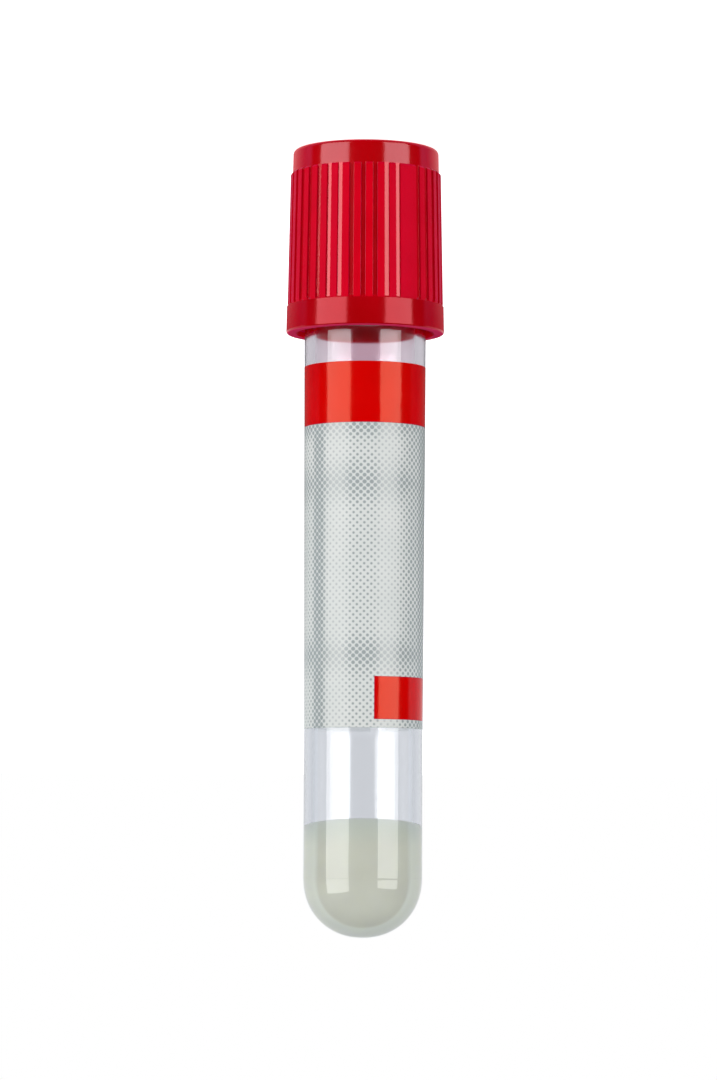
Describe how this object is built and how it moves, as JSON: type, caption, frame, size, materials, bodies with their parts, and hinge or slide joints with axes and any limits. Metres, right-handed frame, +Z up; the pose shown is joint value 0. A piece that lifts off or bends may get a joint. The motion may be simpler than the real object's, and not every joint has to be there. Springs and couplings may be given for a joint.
{
  "type": "blood collection tube",
  "caption": "Clear round-bottomed sample tube with a wrap-round label, separator gel in the foot, and a rubber stopper in a ribbed red cap that pulls off and turns.",
  "frame": {"origin": "centre of the cap's flat top, on the ground, with the tube turned over to stand on it", "axes": "+Z up along the tube's axis, from the cap to the round foot; the printed front faces -Y"},
  "size_m": [0.0172, 0.0172, 0.0855],
  "materials": {
    "clear_plastic": "clear, polished",
    "separator_gel": "cloudy pale grey-green gel",
    "label_film": "printed glossy film",
    "stopper_rubber": "matt moulded rubber",
    "cap_plastic": "glossy moulding with satin ribs"
  },
  "bodies": {
    "cap": {"cap": "cap_plastic"},
    "stopper": {"stopper": "stopper_rubber"},
    "tube": {"tube": "clear_plastic", "separator_gel": "separator_gel", "label": "label_film"}
  },
  "joints": [
    {"name": "cap_twist", "type": "hinge", "parent": "cap", "child": "stopper", "pos_m": [0, 0, 0], "axis": [0, 0, 1], "continuous": true},
    {"name": "closure_pull", "type": "slide", "parent": "stopper", "child": "tube", "axis": [0, 0, 1], "range_m": [0, 0.025]}
  ]
}
